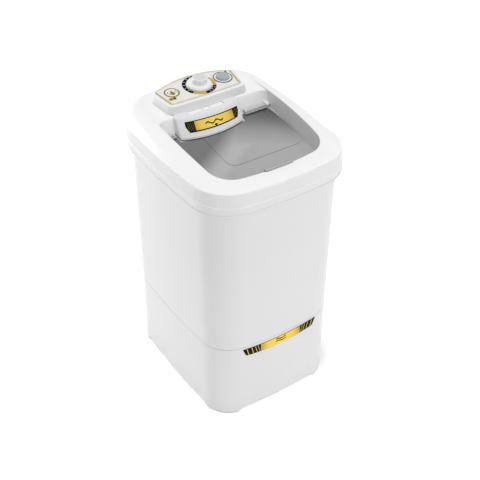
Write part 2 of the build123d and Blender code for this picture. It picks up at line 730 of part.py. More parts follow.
def make_filter_badge():
    skin = box_solid(-1.2) - box_solid(-0.1)
    edges = [
        Line((BOX_X - 90, 955), (BOX_X + 100, 956)),
        Line((BOX_X + 100, 956), (BOX_X + 90, 931)),
        ThreePointArc((BOX_X + 90, 931), (BOX_X, 926), (BOX_X - 84, 929)),
        Line((BOX_X - 84, 929), (BOX_X - 90, 955)),
    ]
    face = make_face(edges)
    face = fillet([v for v in face.vertices() if v.Y < 940], 8)
    return skin & (Pos(0, 90, 0) * extrude(Plane.XZ * face, 120))


PARTS = {
    "base": make_base,
    "foot_pads": make_foot_pads,
    "cabinet": make_cabinet,
    "rear_cover": make_rear_cover,
    "cover_screws": make_cover_screws,
    "collar": make_collar,
    "wash_tub": make_wash_tub,
    "splash_shield": make_splash_shield,
    "console": make_console,
    "console_screws": make_console_screws,
    "control_panel": make_control_panel,
    "dial_scale": make_dial_scale,
    "console_emblem": make_console_emblem,
    "timer_body": make_timer_body,
    "timer_shaft": make_timer_shaft,
    "timer_knob": make_timer_knob,
    "knob_cap": make_knob_cap,
    "push_button": make_push_button,
    "button_bezel": make_button_bezel,
    "button_switch": make_button_switch,
    "filter_housing": make_filter_housing,
    "filter_badge": make_filter_badge,
    "filter_cassette": make_filter_cassette,
    "filter_mesh": make_filter_mesh,
    "lid": make_lid,
    "hinge_pin_left": lambda: make_hinge_pin(-1),
    "hinge_pin_right": lambda: make_hinge_pin(1),
    "lid_bumpers": make_lid_bumpers,
    "pulsator": make_pulsator,
    "pulsator_bolt": make_pulsator_bolt,
    "pulsator_cap": make_pulsator_cap,
    "drive_shaft": make_drive_shaft,
    "shaft_seal": make_shaft_seal,
    "bearing_housing": make_bearing_housing,
    "upper_bearing": lambda: make_bearing(299.5),
    "lower_bearing": lambda: make_bearing(251.5),
    "housing_bolts": make_housing_bolts,
    "driven_pulley": make_driven_pulley,
    "pulley_nut": make_pulley_nut,
    "motor_pulley": make_motor_pulley,
    "motor_shaft": make_motor_shaft,
    "drive_belt": make_drive_belt,
    "motor_body": make_motor_body,
    "motor_bracket": make_motor_bracket,
    "motor_bolts": make_motor_bolts,
    "capacitor": make_capacitor,
    "capacitor_clip": make_capacitor_clip,
    "drain_pipe": make_drain_pipe,
    "drain_gasket": make_drain_gasket,
    "cord_gland": make_cord_gland,
    "front_badge": make_front_badge,
}

for name, make in PARTS.items():
    export_step(make(), f"parts/{name}.step")
    print("wrote", name)
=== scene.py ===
import json
from math import atan2, cos, hypot, pi, radians, sin, sqrt

import bmesh
import bpy
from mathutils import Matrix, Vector


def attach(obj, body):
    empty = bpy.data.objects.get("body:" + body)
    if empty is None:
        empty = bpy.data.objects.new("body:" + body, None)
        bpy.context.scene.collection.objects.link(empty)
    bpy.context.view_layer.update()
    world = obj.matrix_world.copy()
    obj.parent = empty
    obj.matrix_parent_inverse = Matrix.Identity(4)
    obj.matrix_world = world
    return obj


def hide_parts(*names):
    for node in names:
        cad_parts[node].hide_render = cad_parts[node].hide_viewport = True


# Looks for the semi-automatic top load washing machine. Metres; +Z up, front facing -Y.

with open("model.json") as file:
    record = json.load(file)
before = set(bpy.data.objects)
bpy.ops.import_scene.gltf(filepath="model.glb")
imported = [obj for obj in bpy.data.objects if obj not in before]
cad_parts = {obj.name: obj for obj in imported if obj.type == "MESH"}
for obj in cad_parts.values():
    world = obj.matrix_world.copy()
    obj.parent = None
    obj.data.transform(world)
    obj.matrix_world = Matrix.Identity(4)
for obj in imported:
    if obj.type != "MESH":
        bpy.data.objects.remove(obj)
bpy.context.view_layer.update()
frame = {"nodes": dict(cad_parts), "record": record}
NODES = frame["nodes"]

MM = 0.001

CAMERA_AZIMUTH, CAMERA_ELEVATION = -33.39, 37.87     # degrees, from the front and above the floor
CAMERA_DISTANCE = 3.1365
LOOK_AT = (0, 0, 0.5)                                # middle of the machine
FLOOR_REACH = 400.0


# ---- camera, light and floor ------------------------------------------------------------------
def add_camera():
    """Camera in front, to the left and above."""
    azimuth, elevation = radians(CAMERA_AZIMUTH), radians(CAMERA_ELEVATION)
    back = Vector((sin(azimuth) * cos(elevation), -cos(azimuth) * cos(elevation), sin(elevation)))
    data = bpy.data.cameras.new("camera")
    camera = bpy.data.objects.new("camera", data)
    bpy.context.scene.collection.objects.link(camera)
    camera.location = Vector(LOOK_AT) + back * CAMERA_DISTANCE
    camera.rotation_euler = back.to_track_quat("Z", "Y").to_euler()
    data.lens = 68.85
    data.sensor_width = 36
    data.shift_x = 0.0168
    data.clip_start = 0.05
    data.clip_end = 3 * FLOOR_REACH
    bpy.context.scene.camera = camera


def add_area(name, place, look_at, size, power):
    """Soft rectangular lamp, aimed at a point."""
    data = bpy.data.lights.new(name, "AREA")
    data.shape = "RECTANGLE"
    data.size, data.size_y = size
    data.energy = power
    lamp = bpy.data.objects.new(name, data)
    bpy.context.scene.collection.objects.link(lamp)
    lamp.location = place
    lamp.rotation_euler = (Vector(place) - Vector(look_at)).to_track_quat("Z", "Y").to_euler()
    return lamp


def add_sun(name, towards, power, spread):
    """Even light from one direction, softened over a wide angle."""
    data = bpy.data.lights.new(name, "SUN")
    data.energy = power
    data.angle = radians(spread)
    lamp = bpy.data.objects.new(name, data)
    bpy.context.scene.collection.objects.link(lamp)
    lamp.rotation_euler = Vector(towards).to_track_quat("Z", "Y").to_euler()
    lamp.visible_glossy = False
    return lamp


def add_stage():
    """Pale floor, even surrounding light, two soft lamps, a fill under the base and light from above."""
    scene = bpy.context.scene
    scene.view_settings.view_transform = "Standard"
    world = bpy.data.worlds.new("studio")
    scene.world = world
    world.use_nodes = True
    world.node_tree.nodes["Background"].inputs["Color"].default_value = (1.0, 1.0, 1.0, 1)
    world.node_tree.nodes["Background"].inputs["Strength"].default_value = 0.58
    softbox = (1.4, 1.8)
    add_area("left_softbox", (-1.9, 3.5, 1.0), LOOK_AT, softbox, 58)
    add_area("right_softbox", (1.45, -3.7, 1.0), LOOK_AT, softbox, 31)
    under = add_area("under_fill", (0, 0, 0.25), (0, 0, 0), (0.3, 0.4), 2.2)
    under.visible_glossy = False
    add_sun("top_light", (-0.03, -0.04, 1.0), 1.82, 8)
    mesh = bpy.data.meshes.new("floor")
    corners = [(sx * FLOOR_REACH, sy * FLOOR_REACH, 0) for sx, sy in ((-1, -1), (1, -1), (1, 1), (-1, 1))]
    mesh.from_pydata(corners, [], [(0, 1, 2, 3)])
    floor = bpy.data.objects.new("floor", mesh)
    scene.collection.objects.link(floor)
    mesh.materials.append(MATERIALS["floor"])


# ---- materials --------------------------------------------------------------------------------
class Nodes:
    """Short helper round one material's node tree."""

    def __init__(self, name):
        self.material = bpy.data.materials.new(name)
        self.material.use_nodes = True
        self.tree = self.material.node_tree
        self.shader = self.tree.nodes["Principled BSDF"]
        self.coords = self.add("ShaderNodeTexCoord").outputs["Object"]

    def add(self, kind, **settings):
        """New node with its settings."""
        node = self.tree.nodes.new(kind)
        for key, value in settings.items():
            setattr(node, key, value)
        return node

    def join(self, out, into):
        self.tree.links.new(out, into)

    def noise(self, scale, detail=3.0, stretch=(1, 1, 1)):
        """Noise on the piece's own coordinates."""
        mapping = self.add("ShaderNodeMapping")
        mapping.inputs["Scale"].default_value = stretch
        self.join(self.coords, mapping.inputs["Vector"])
        noise = self.add("ShaderNodeTexNoise")
        noise.inputs["Scale"].default_value = scale
        noise.inputs["Detail"].default_value = detail
        self.join(mapping.outputs["Vector"], noise.inputs["Vector"])
        return noise.outputs["Fac"]

    def ramp(self, value, stops):
        """Colour picked along the stops by a value."""
        ramp = self.add("ShaderNodeValToRGB")
        elements = ramp.color_ramp.elements
        while len(elements) < len(stops):
            elements.new(0.5)
        for element, (place, colour) in zip(elements, stops):
            element.position = place
            element.color = (*colour, 1)
        self.join(value, ramp.inputs["Fac"])
        return ramp.outputs["Color"]

    def span(self, value, low, high):
        """A value from 0 to 1 moved to low to high."""
        scale = self.add("ShaderNodeMapRange")
        scale.inputs["To Min"].default_value = low
        scale.inputs["To Max"].default_value = high
        self.join(value, scale.inputs["Value"])
        return scale.outputs["Result"]

    def bump(self, value, strength, distance):
        """Fine relief of the surface."""
        bump = self.add("ShaderNodeBump")
        bump.inputs["Strength"].default_value = strength
        bump.inputs["Distance"].default_value = distance
        self.join(value, bump.inputs["Height"])
        self.join(bump.outputs["Normal"], self.shader.inputs["Normal"])

    def put(self, **values):
        """Set shader sockets; an underscore stands for a space."""
        for key, value in values.items():
            name = key.replace("_", " ")
            self.shader.inputs[name].default_value = value


def shade(colour, factor):
    """The colour made lighter or darker."""
    return tuple(min(1.0, c * factor) for c in colour)


def moulded(name, colour, rough, grain, bump, mottle, coat=0.0):
    """Moulded plastic, paint or rubber: faint mottling, uneven gloss and fine surface texture."""
    n = Nodes(name)
    tone = n.ramp(n.noise(7.0, 4), [(0.3, shade(colour, 1 - mottle)), (0.7, shade(colour, 1 + mottle))])
    n.join(tone, n.shader.inputs["Base Color"])
    n.join(n.span(n.noise(38.0, 5), rough * 0.82, rough * 1.18), n.shader.inputs["Roughness"])
    n.bump(n.noise(grain, 2), bump, 0.0004)
    n.put(Metallic=0.0, Coat_Weight=coat, Coat_Roughness=0.12)
    return n.material


def brushed(name, colour, rough, stretch):
    """Metal with drawn or turned lines."""
    n = Nodes(name)
    lines = n.noise(700.0, 6, stretch)
    tone = n.ramp(lines, [(0.25, shade(colour, 0.82)), (0.75, shade(colour, 1.1))])
    n.join(tone, n.shader.inputs["Base Color"])
    n.join(n.span(lines, rough * 0.7, rough * 1.3), n.shader.inputs["Roughness"])
    n.bump(lines, 0.12, 0.0002)
    n.put(Metallic=1.0)
    return n.material


def gold_film(name, colour, middle=0.0, reach=10.0, metal=0.85):
    """Printed metallic film with fine lines along it, with a painted highlight: darker away from its middle
    in X.
    """
    n = Nodes(name)
    split = n.add("ShaderNodeSeparateXYZ")
    n.join(n.coords, split.inputs["Vector"])
    offset = n.add("ShaderNodeMath", operation="SUBTRACT")
    n.join(split.outputs["X"], offset.inputs[0])
    offset.inputs[1].default_value = middle
    distance = n.add("ShaderNodeMath", operation="ABSOLUTE")
    n.join(offset.outputs["Value"], distance.inputs[0])
    share = n.add("ShaderNodeMapRange")
    share.inputs["From Max"].default_value = reach
    n.join(distance.outputs["Value"], share.inputs["Value"])
    lines = n.noise(90.0, 3, (0.2, 1, 3))
    total = n.add("ShaderNodeMath", operation="ADD")
    n.join(share.outputs["Result"], total.inputs[0])
    n.join(n.span(lines, -0.12, 0.12), total.inputs[1])
    # Painted highlight: lightest at the middle, darker towards the ends.
    stops = [(0.0, shade(colour, 1.1)), (0.6, shade(colour, 0.92)), (1.0, shade(colour, 0.42))]
    tone = n.ramp(total.outputs["Value"], stops)
    n.join(tone, n.shader.inputs["Base Color"])
    n.join(n.span(lines, 0.34, 0.46), n.shader.inputs["Roughness"])
    n.put(Metallic=metal)
    return n.material


def smoked_lid_painted_light():
    """Smoked see-through moulding of the lid, with light and shade painted into its colour: painted shade
    darker towards the hinge and along its left side, painted reflections lighter between, and a painted
    highlight on the hinge barrels."""
    n = Nodes("smoked_clear_painted_light")

    def slanted(direction, start, stop, tones):
        """Painted light and shade as grey tones along a direction, slightly clouded."""
        along = n.add("ShaderNodeVectorMath", operation="DOT_PRODUCT")
        along.inputs[1].default_value = direction
        n.join(n.coords, along.inputs[0])
        share = n.add("ShaderNodeMapRange")
        share.inputs["From Min"].default_value = start
        share.inputs["From Max"].default_value = stop
        n.join(along.outputs["Value"], share.inputs["Value"])
        cloud = n.add("ShaderNodeMath", operation="ADD")
        n.join(share.outputs["Result"], cloud.inputs[0])
        n.join(n.span(n.noise(9.0, 3, (1, 3, 1)), -0.03, 0.03), cloud.inputs[1])
        return n.ramp(cloud.outputs["Value"], [(place, (tone, tone, tone * 1.01)) for place, tone in tones])

    # Painted shade and painted reflection along the left side, and painted shade rising from the hinge.
    left_painted_light_tones = [(0.16, 0.20), (0.30, 0.33), (0.39, 0.43), (0.47, 0.50),
                  (0.61, 0.52), (0.77, 0.45), (1.0, 0.465)]
    hinge_painted_shade_tones = [(0.03, 0.107), (0.2, 0.165), (0.35, 0.245), (0.5, 0.326),
                   (0.66, 0.39), (0.82, 0.44), (1.0, 0.55)]
    left_side = slanted((-0.52, 0.85, 0), 0.06, -0.12, left_painted_light_tones)
    hinge_painted_shade = slanted((0.5, 0.87, 0), 0.14, -0.06, hinge_painted_shade_tones)
    # Painted shade: the darker of the two painted tones wins.
    darker = n.add("ShaderNodeMath", operation="MINIMUM")
    n.join(left_side, darker.inputs[0])
    n.join(hinge_painted_shade, darker.inputs[1])
    # Painted highlight that makes the hinge barrels pale.
    barrel_painted_highlight = slanted((0, 0.3, 1), 0.9448, 0.949, [(0.0, 0.0), (1.0, 0.62)])
    painted_light_tone = n.add("ShaderNodeMath", operation="MAXIMUM")
    n.join(darker.outputs["Value"], painted_light_tone.inputs[0])
    n.join(barrel_painted_highlight, painted_light_tone.inputs[1])
    n.join(painted_light_tone.outputs["Value"], n.shader.inputs["Base Color"])
    n.join(n.span(n.noise(9.0, 3, (1, 5, 1)), 0.10, 0.24), n.shader.inputs["Roughness"])
    n.put(IOR=1.5, Alpha=0.70)
    return n.material


def black_film():
    """Matt black print with a faint grain."""
    n = Nodes("black_film")
    tone = n.ramp(n.noise(60.0, 3), [(0.3, (0.004, 0.004, 0.004)), (0.7, (0.009, 0.009, 0.009))])
    n.join(tone, n.shader.inputs["Base Color"])
    n.join(n.span(n.noise(38.0, 4), 0.5, 0.62), n.shader.inputs["Roughness"])
    n.put(Specular_IOR_Level=0.06)
    return n.material


# name, colour, roughness, grain, bump, mottling and clear coat of each moulded, painted or rubber slot
MOULDED = {
    "floor": ("floor_paper", (0.985, 0.985, 0.985), 0.9, 300, 0.02, 0.002),
    # body_white also serves as painted shade on the collar's pocket wall, seat and throat.
    "body_white": ("body_white", (0.66, 0.66, 0.663), 0.32, 160, 0.01, 0.006),
    # rim_white is lighter than body_white, partly as painted light on the machine's top.
    "rim_white": ("rim_white", (0.77, 0.77, 0.773), 0.30, 160, 0.01, 0.006),
    "tub_white": ("tub_white", (0.74, 0.75, 0.76), 0.42, 600, 0.08, 0.02),
    "panel_print": ("panel_film", (0.68, 0.685, 0.675), 0.4, 300, 0.01, 0.006),
    "knob_white": ("knob_white", (0.72, 0.725, 0.735), 0.3, 300, 0.01, 0.008),
    "cap_grey": ("cap_grey", (0.58, 0.59, 0.61), 0.3, 300, 0.01, 0.015, 0.2),
    "button_grey": ("button_grey", (0.35, 0.37, 0.40), 0.36, 300, 0.02, 0.02, 0.1),
    "bezel_dark": ("bezel_film", (0.86, 0.86, 0.85), 0.3, 1500, 0.03, 0.01, 0.3),
    "mesh_fabric": ("net", (0.72, 0.74, 0.76), 0.7, 4000, 0.4, 0.05),
    "rubber_black": ("rubber_black", (0.03, 0.03, 0.032), 0.72, 1800, 0.25, 0.12),
    "rubber_grey": ("rubber_grey", (0.12, 0.12, 0.125), 0.68, 1800, 0.25, 0.1),
    "motor_paint": ("motor_enamel", (0.06, 0.065, 0.07), 0.42, 900, 0.2, 0.1),
    "nylon_black": ("nylon_black", (0.035, 0.035, 0.037), 0.45, 700, 0.15, 0.1),
    "switch_body": ("switch_body", (0.55, 0.55, 0.50), 0.45, 900, 0.12, 0.03),
    "capacitor_shell": ("capacitor_shell", (0.60, 0.61, 0.59), 0.4, 900, 0.1, 0.03),
    "pipe_grey": ("pipe_grey", (0.22, 0.225, 0.23), 0.45, 900, 0.12, 0.05),
}

# name, colour, middle and reach of the painted highlight's fade in metres, and metallic share of each gold
# print
GOLD = {
    "gold_print": ("gold_film", (0.80, 0.54, 0.09)),
    "front_gold": ("front_gold", (0.84, 0.56, 0.075), 0.0, 0.09),
    "box_gold": ("box_gold", (0.98, 0.68, 0.11), -0.024, 0.085, 0.4),
    "line_gold": ("line_gold", (0.62, 0.49, 0.09)),
    "emblem_gold": ("emblem_gold", (0.38, 0.29, 0.045)),
    "gold_dark": ("dark_gold_film", (0.11, 0.06, 0.008)),
}

MATERIALS = {}


def make_materials():
    """One material for each slot of the record, and the extra shades of gold."""
    m = MATERIALS
    m["smoke_clear"] = smoked_lid_painted_light()
    m["scale_print"] = black_film()
    m["steel"] = brushed("zinc_steel", (0.55, 0.56, 0.57), 0.34, (1, 1, 0.12))
    for slot, args in MOULDED.items():
        m[slot] = moulded(*args)
    for slot, args in GOLD.items():
        m[slot] = gold_film(*args)


def dress_cad_nodes():
    """Every CAD node takes the material of its slot."""
    slots = {part["node"]: part["material_slot"] for part in frame["record"]["subparts"]}
    for name, obj in NODES.items():
        obj.data.materials.clear()
        obj.data.materials.append(MATERIALS[slots[name]])


# ---- outlines ---------------------------------------------------------------------------------
def circle_through(a, b, c):
    """Centre and radius of the circle through three points."""
    d = 2 * (a[0] * (b[1] - c[1]) + b[0] * (c[1] - a[1]) + c[0] * (a[1] - b[1]))
    sa, sb, sc = a[0] ** 2 + a[1] ** 2, b[0] ** 2 + b[1] ** 2, c[0] ** 2 + c[1] ** 2
    x = (sa * (b[1] - c[1]) + sb * (c[1] - a[1]) + sc * (a[1] - b[1])) / d
    y = (sa * (c[0] - b[0]) + sb * (a[0] - c[0]) + sc * (b[0] - a[0])) / d
    return (x, y), hypot(x - a[0], y - a[1])


def fillet_circle(one, two, radius, near):
    """Centre of a fillet inside two arcs, and where it touches each."""
    (x1, y1), r1 = one
    (x2, y2), r2 = two
    a, b = r1 - radius, r2 - radius
    dx, dy = x2 - x1, y2 - y1
    gap = hypot(dx, dy)
    along = (a * a - b * b + gap * gap) / (2 * gap)
    side = sqrt(max(0.0, a * a - along * along))
    base = (x1 + dx * along / gap, y1 + dy * along / gap)
    picks = [(base[0] - k * dy * side / gap, base[1] + k * dx * side / gap) for k in (-1, 1)]
    centre = min(picks, key=lambda p: hypot(p[0] - near[0], p[1] - near[1]))
    touches = []
    for (x, y), r in (one, two):
        reach = hypot(centre[0] - x, centre[1] - y)
        touches.append((x + (centre[0] - x) * r / reach, y + (centre[1] - y) * r / reach))
    return centre, touches[0], touches[1]


def arc_points(centre, radius, start, end, count):
    """Points from start to end round a centre, the short way, without the last one."""
    a0 = atan2(start[1] - centre[1], start[0] - centre[0])
    a1 = atan2(end[1] - centre[1], end[0] - centre[0])
    turn = (a1 - a0 + pi) % (2 * pi) - pi
    angles = [a0 + turn * i / count for i in range(count)]
    return [(centre[0] + radius * cos(a), centre[1] + radius * sin(a)) for a in angles]


STEPS = (10, 14, 16, 14, 10)    # points on the front half, front corner, side, rear corner and rear half


def bowed_outline(half_w, front, rear, corner_front, corner_rear, sag_side, sag_end, sag_rear=None):
    """Closed outline with four bowed sides and rounded corners, anticlockwise from the front's middle."""
    sag_rear = sag_end if sag_rear is None else sag_rear
    side_x, front_y, rear_y = half_w - sag_side, front + sag_end, rear - sag_rear
    middle = (front + rear) / 2
    front_arc = circle_through((-side_x, front_y), (0, front), (side_x, front_y))
    side_arc = circle_through((side_x, front_y), (half_w, middle), (side_x, rear_y))
    rear_arc = circle_through((side_x, rear_y), (0, rear), (-side_x, rear_y))
    c1, t1, t2 = fillet_circle(front_arc, side_arc, corner_front, (side_x, front_y))
    c2, t4, t3 = fillet_circle(rear_arc, side_arc, corner_rear, (side_x, rear_y))
    half = arc_points(*front_arc, (0, front), t1, STEPS[0])
    half += arc_points(c1, corner_front, t1, t2, STEPS[1])
    half += arc_points(*side_arc, t2, t3, STEPS[2])
    half += arc_points(c2, corner_rear, t3, t4, STEPS[3])
    half += arc_points(*rear_arc, t4, (0, rear), STEPS[4])
    half.append((0, rear))
    return half + [(-x, y) for x, y in reversed(half[1:-1])]


def tilt_point(point, z0, slope, lift=0.0):
    """A point drawn on a plane that passes through (0, 0, z0) and rises towards the back."""
    c = 1 / sqrt(1 + slope * slope)
    x, y = point
    return Vector((x, y * c - lift * slope * c, z0 + y * slope * c + lift * c))


# Heights at y = 0 and slopes of the deck's, the lid seat's and the filter box foot's planes.
DECK_Z0, DECK_SLOPE = 958.5, 0.0845
SEAT_Z0, LID_SLOPE = 907.3, 0.126
BOX_FOOT_Z0 = 912.0
HINGE_Y, HINGE_Z = 84.0, 927.6


def deck_point(x, y, lift=0.0):
    """A point over or on the deck's sloping plane."""
    return tilt_point((x, y), DECK_Z0, DECK_SLOPE, lift)


# Widest outline of the top moulding, and the bow of its sides and ends.
HALF_WIDTH, HALF_DEPTH, CORNER = 273.3, 318.0, 132
SIDE_BOW, END_BOW = 18, 24


def collar_outline(inset):
    """Outline of the top moulding's side, this far inside its widest level."""
    half_d, corner = HALF_DEPTH - inset, CORNER - inset
    return bowed_outline(HALF_WIDTH - inset, -half_d, half_d, corner, corner, SIDE_BOW, END_BOW)


def rounded(path, cuts, steps=5):
    """Polyline with chosen corners rounded; cuts gives each point's rounding distance."""
    out = []
    for i, point in enumerate(path):
        cut = cuts.get(i, 0)
        if not cut:
            out.append(point)
            continue
        before, after = path[i - 1] - point, path[(i + 1) % len(path)] - point
        a = point + before.normalized() * min(cut, 0.45 * before.length)
        b = point + after.normalized() * min(cut, 0.45 * after.length)
        for k in range(steps + 1):
            t = k / steps
            out.append(a * (1 - t) ** 2 + point * 2 * t * (1 - t) + b * t * t)
    return out


def curve_through(a, b, c, shares):
    """Points at the given shares along the smooth curve through three points."""
    middle = (b - a).length / ((b - a).length + (c - b).length)
    out = []
    for t in shares:
        weight_a = (t - middle) * (t - 1) / middle
        weight_b = t * (t - 1) / (middle * (middle - 1))
        weight_c = t * (t - middle) / (1 - middle)
        out.append(a * weight_a + b * weight_b + c * weight_c)
    return out


def smooth_step(t):
    """0 to 1 with soft ends."""
    t = max(0.0, min(1.0, t))
    return t * t * (3 - 2 * t)


# ---- mesh pieces ------------------------------------------------------------------------------
SAME_POINT = 2e-5       # metres; nearer points are one


class Builder:
    """Collects rings, grids and plates in millimetres and makes one mesh piece."""

    def __init__(self):
        self.points = []
        self.faces = []
        self.slots = []
        self.crisp = set()

    def add(self, points):
        """New points; gives back their numbers."""
        first = len(self.points)
        self.points += [Vector(p) for p in points]
        return list(range(first, len(self.points)))

    def face(self, corners, slot=0):
        self.faces.append(corners)
        self.slots.append(slot)

    def loft(self, profiles, closed_profile=False, closed_ring=True, skip=None,
             top_rows=None, crisp_rows=()):
        """Quads between neighbouring profiles. Rows outside top_rows take slot 1, crisp_rows stay flat."""
        rows = [self.add(p) for p in profiles]
        wide = len(rows)
        tall = len(rows[0])
        for i in range(wide if closed_ring else wide - 1):
            j = (i + 1) % wide
            for k in range(tall if closed_profile else tall - 1):
                m = (k + 1) % tall
                if skip is None or not skip(i, k):
                    other = top_rows is not None and not top_rows[0] <= k < top_rows[1]
                    if k in crisp_rows:
                        self.crisp.add(len(self.faces))
                    self.face((rows[i][k], rows[j][k], rows[j][m], rows[i][m]), int(other))

    def plate(self, outline, place, low, high, slot=0):
        """Thin plate inside a closed outline; place(x, y, height) puts its points in space."""
        top = self.add([place(x, y, high) for x, y in outline])
        bottom = self.add([place(x, y, low) for x, y in outline])
        count = len(outline)
        for i in range(count):
            j = (i + 1) % count
            self.face((bottom[i], bottom[j], top[j], top[i]), slot)
        self.face(tuple(top), slot)

    def band(self, inner, outer, place, low, high, slot=0, closed=True):
        """Flat band between two matched lines."""
        count = len(inner)
        rows = []
        for a, b in zip(inner, outer):
            rows.append(self.add([place(*a, low), place(*a, high), place(*b, high), place(*b, low)]))
        last = count if closed else count - 1
        for i in range(last):
            j = (i + 1) % count
            for k in range(3):
                self.face((rows[i][k], rows[i][k + 1], rows[j][k + 1], rows[j][k]), slot)
        if not closed:
            self.face(tuple(rows[0]), slot)
            self.face(tuple(reversed(rows[-1])), slot)

    def finish(self, name, body, slots, smooth=True, replaces=()):
        """Make the mesh, give it its materials, hang it on its body and hide the CAD nodes it replaces."""
        mesh = bpy.data.meshes.new(name)
        mesh.from_pydata([p * MM for p in self.points], [], self.faces)
        mesh.polygons.foreach_set("material_index", self.slots)
        mesh.update()
        bm = bmesh.new()
        bm.from_mesh(mesh)
        bmesh.ops.remove_doubles(bm, verts=bm.verts, dist=SAME_POINT)
        bmesh.ops.recalc_face_normals(bm, faces=bm.faces)
        bm.to_mesh(mesh)
        bm.free()
        for slot_name in slots:
            mesh.materials.append(MATERIALS[slot_name])
        if smooth:
            mesh.shade_smooth()
            for index in self.crisp:
                mesh.polygons[index].use_smooth = False
        piece = bpy.data.objects.new(name, mesh)
        bpy.context.scene.collection.objects.link(piece)
        if smooth:
            flat = piece.modifiers.new("normals", "WEIGHTED_NORMAL")
            flat.keep_sharp = True
        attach(piece, body)
        if replaces:
            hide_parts(*replaces)


# ---- top moulding -----------------------------------------------------------------------------
LIP_Z = 854             # lower edge of the collar
INSIDE_Z = 870.5        # where its inner faces end
THROAT_END_Z = 845
SHOULDER_Z = 931        # where its side turns into the rim
OUTER_PLANE_Z0, OUTER_PLANE_SLOPE = 954.8, 0.062    # middle line of the rim


def crest_arch(y):
    """The rim is a little higher along the middle of the opening than the console's plane."""
    return 8.0 * max(0.0, 1 - ((y + 20) / 225) ** 2)


def build_collar():
    """Rim, side, lid seat and throat as one closed profile, swept round the machine."""
    lip_in, lip, bead, low, band = [collar_outline(inset) for inset in (5.0, 2.0, 0.1, 0.0, 2.5)]
    shoulder = bowed_outline(268.6, -313.3, 313.3, 127, 127, SIDE_BOW, END_BOW)
    middle = bowed_outline(239, -285, 301, 105, 98, 16, 22)
    crest = bowed_outline(205.9, -252.5, 285.5, 80, 64, 14, 20)
    floor = bowed_outline(199.5, -250.5, 279, 74, 58, 12, 16)
    throat = bowed_outline(184, -236, 56, 62, 40, 8, 16, 4)
    outside = bowed_outline(187.5, -239.5, 59.5, 65.5, 43.5, 8, 16, 4)
    cuts = {1: 1.0, 2: 1.2, 7: 5.0, 14: 3.5, 15: 2.0, 16: 1.5, 17: 0.9, 18: 0.9}
    profiles = []
    for i in range(len(lip)):
        top = tilt_point(crest[i], DECK_Z0, DECK_SLOPE, crest_arch(crest[i][1]))
        mid_lift = 0.62 * crest_arch(middle[i][1])
        mid = tilt_point(middle[i], OUTER_PLANE_Z0, OUTER_PLANE_SLOPE, mid_lift)
        side = Vector((*shoulder[i], SHOULDER_Z))
        # outline and height of each level, from inside the lip up to the step line
        levels = [(lip_in, INSIDE_Z), (lip_in, LIP_Z), (bead, LIP_Z), (bead, 857.2), (lip, 859.4),
                  (low, 884.2), (band, 886.9)]
        path = [Vector((*outline[i], z)) for outline, z in levels] + [side]
        path += curve_through(side, mid, top, (0.3, 0.42, 0.54, 0.66, 0.78, 0.89))
        path += [top, tilt_point(floor[i], SEAT_Z0, LID_SLOPE), tilt_point(throat[i], SEAT_Z0, LID_SLOPE),
                 Vector((*throat[i], THROAT_END_Z)), Vector((*outside[i], THROAT_END_Z)),
                 Vector((*outside[i], INSIDE_Z))]
        profiles.append(rounded(path, cuts))
    # Rows of the rounded profile where the rim's material starts and ends, and the bead's crisp top. The
    # rim's lighter white on the top is partly painted light; the darker body white on the pocket's inner
    # wall, seat and throat is painted shade.
    above_shoulder = len(rounded(path[:8], {k: v for k, v in cuts.items() if k < 7})) + 2
    bead_top = len(rounded(path[:4], {1: 1.0, 2: 1.2})) - 1
    before_wall = len(rounded(path[:15], {k: v for k, v in cuts.items() if k < 14})) + 4
    shell = Builder()
    shell.loft(profiles, closed_profile=True, top_rows=(above_shoulder, before_wall),
               crisp_rows=(bead_top, bead_top + 2))
    add_deck(shell, crest)
    for side in (-1, 1):
        add_hinge_boss(shell, side)
    shell.finish("collar_shell", "machine", ["rim_white", "body_white"], replaces=["collar"])


def resample(line, count):
    """The same open line with evenly spaced points."""
    lengths = [0.0]
    for a, b in zip(line, line[1:]):
        lengths.append(lengths[-1] + hypot(b[0] - a[0], b[1] - a[1]))
    out = []
    k = 0
    for i in range(count):
        want = lengths[-1] * i / (count - 1)
        while k < len(line) - 2 and lengths[k + 1] < want:
            k += 1
        t = (want - lengths[k]) / (lengths[k + 1] - lengths[k])
        (x0, y0), (x1, y1) = line[k:k + 2]
        out.append((x0 + (x1 - x0) * t, y0 + (y1 - y0) * t))
    return out


def deck_lines():
    """Top edge and foot of the pocket's back wall, from right to left, with hollow rounded ends."""
    top_y, foot_y, end_x = 120.7, 94, 174
    top = [(208.4, HINGE_Y)]
    foot = [(206.0, HINGE_Y - 14)]
    for k in range(10, 0, -1):
        a = radians(9 * k)
        top.append((end_x + 33 * sin(a), 118.2 - 31 * (1 - cos(a))))
        foot.append((183.6 + 21 * sin(a), 91.5 - 19 * (1 - cos(a))))
    for k in range(30):
        x = end_x * (1 - k / 30)
        sag = 3 * (x / 190) ** 2
        top.append((x, top_y - sag))
        foot.append((x * 1.055, foot_y - sag))
    mirrored = [[(-x, y) for x, y in reversed(line)] for line in (top, foot)]
    return top + [(0, top_y)] + mirrored[0], foot + [(0, foot_y)] + mirrored[1]


def add_deck(shell, crest):
    """Deck under the console and the back wall below its front edge."""
    top, foot = deck_lines()
    rear = [(x * 1.003, y + 0.5) for x, y in crest if y > HINGE_Y + 2]      # just under the rim
    rear = resample(rear, len(top))
    profiles = []
    for a, b, c in zip(rear, top, foot):
        path = [tilt_point((a[0] + (b[0] - a[0]) * t, a[1] + (b[1] - a[1]) * t), DECK_Z0, DECK_SLOPE, -0.8)
                for t in (0, 0.4, 0.7, 0.88)]
        path += [tilt_point(b, DECK_Z0, DECK_SLOPE, -0.8), tilt_point(c, SEAT_Z0 - 1.0, LID_SLOPE)]
        profiles.append(rounded(path, {4: 6.0}, 6))

    def hidden(i, k):
        """Faces behind the filter box."""
        return k >= 3 and -136 < top[i + 1][0] and top[i][0] < 80

    shell.loft(profiles, closed_ring=False, skip=hidden)


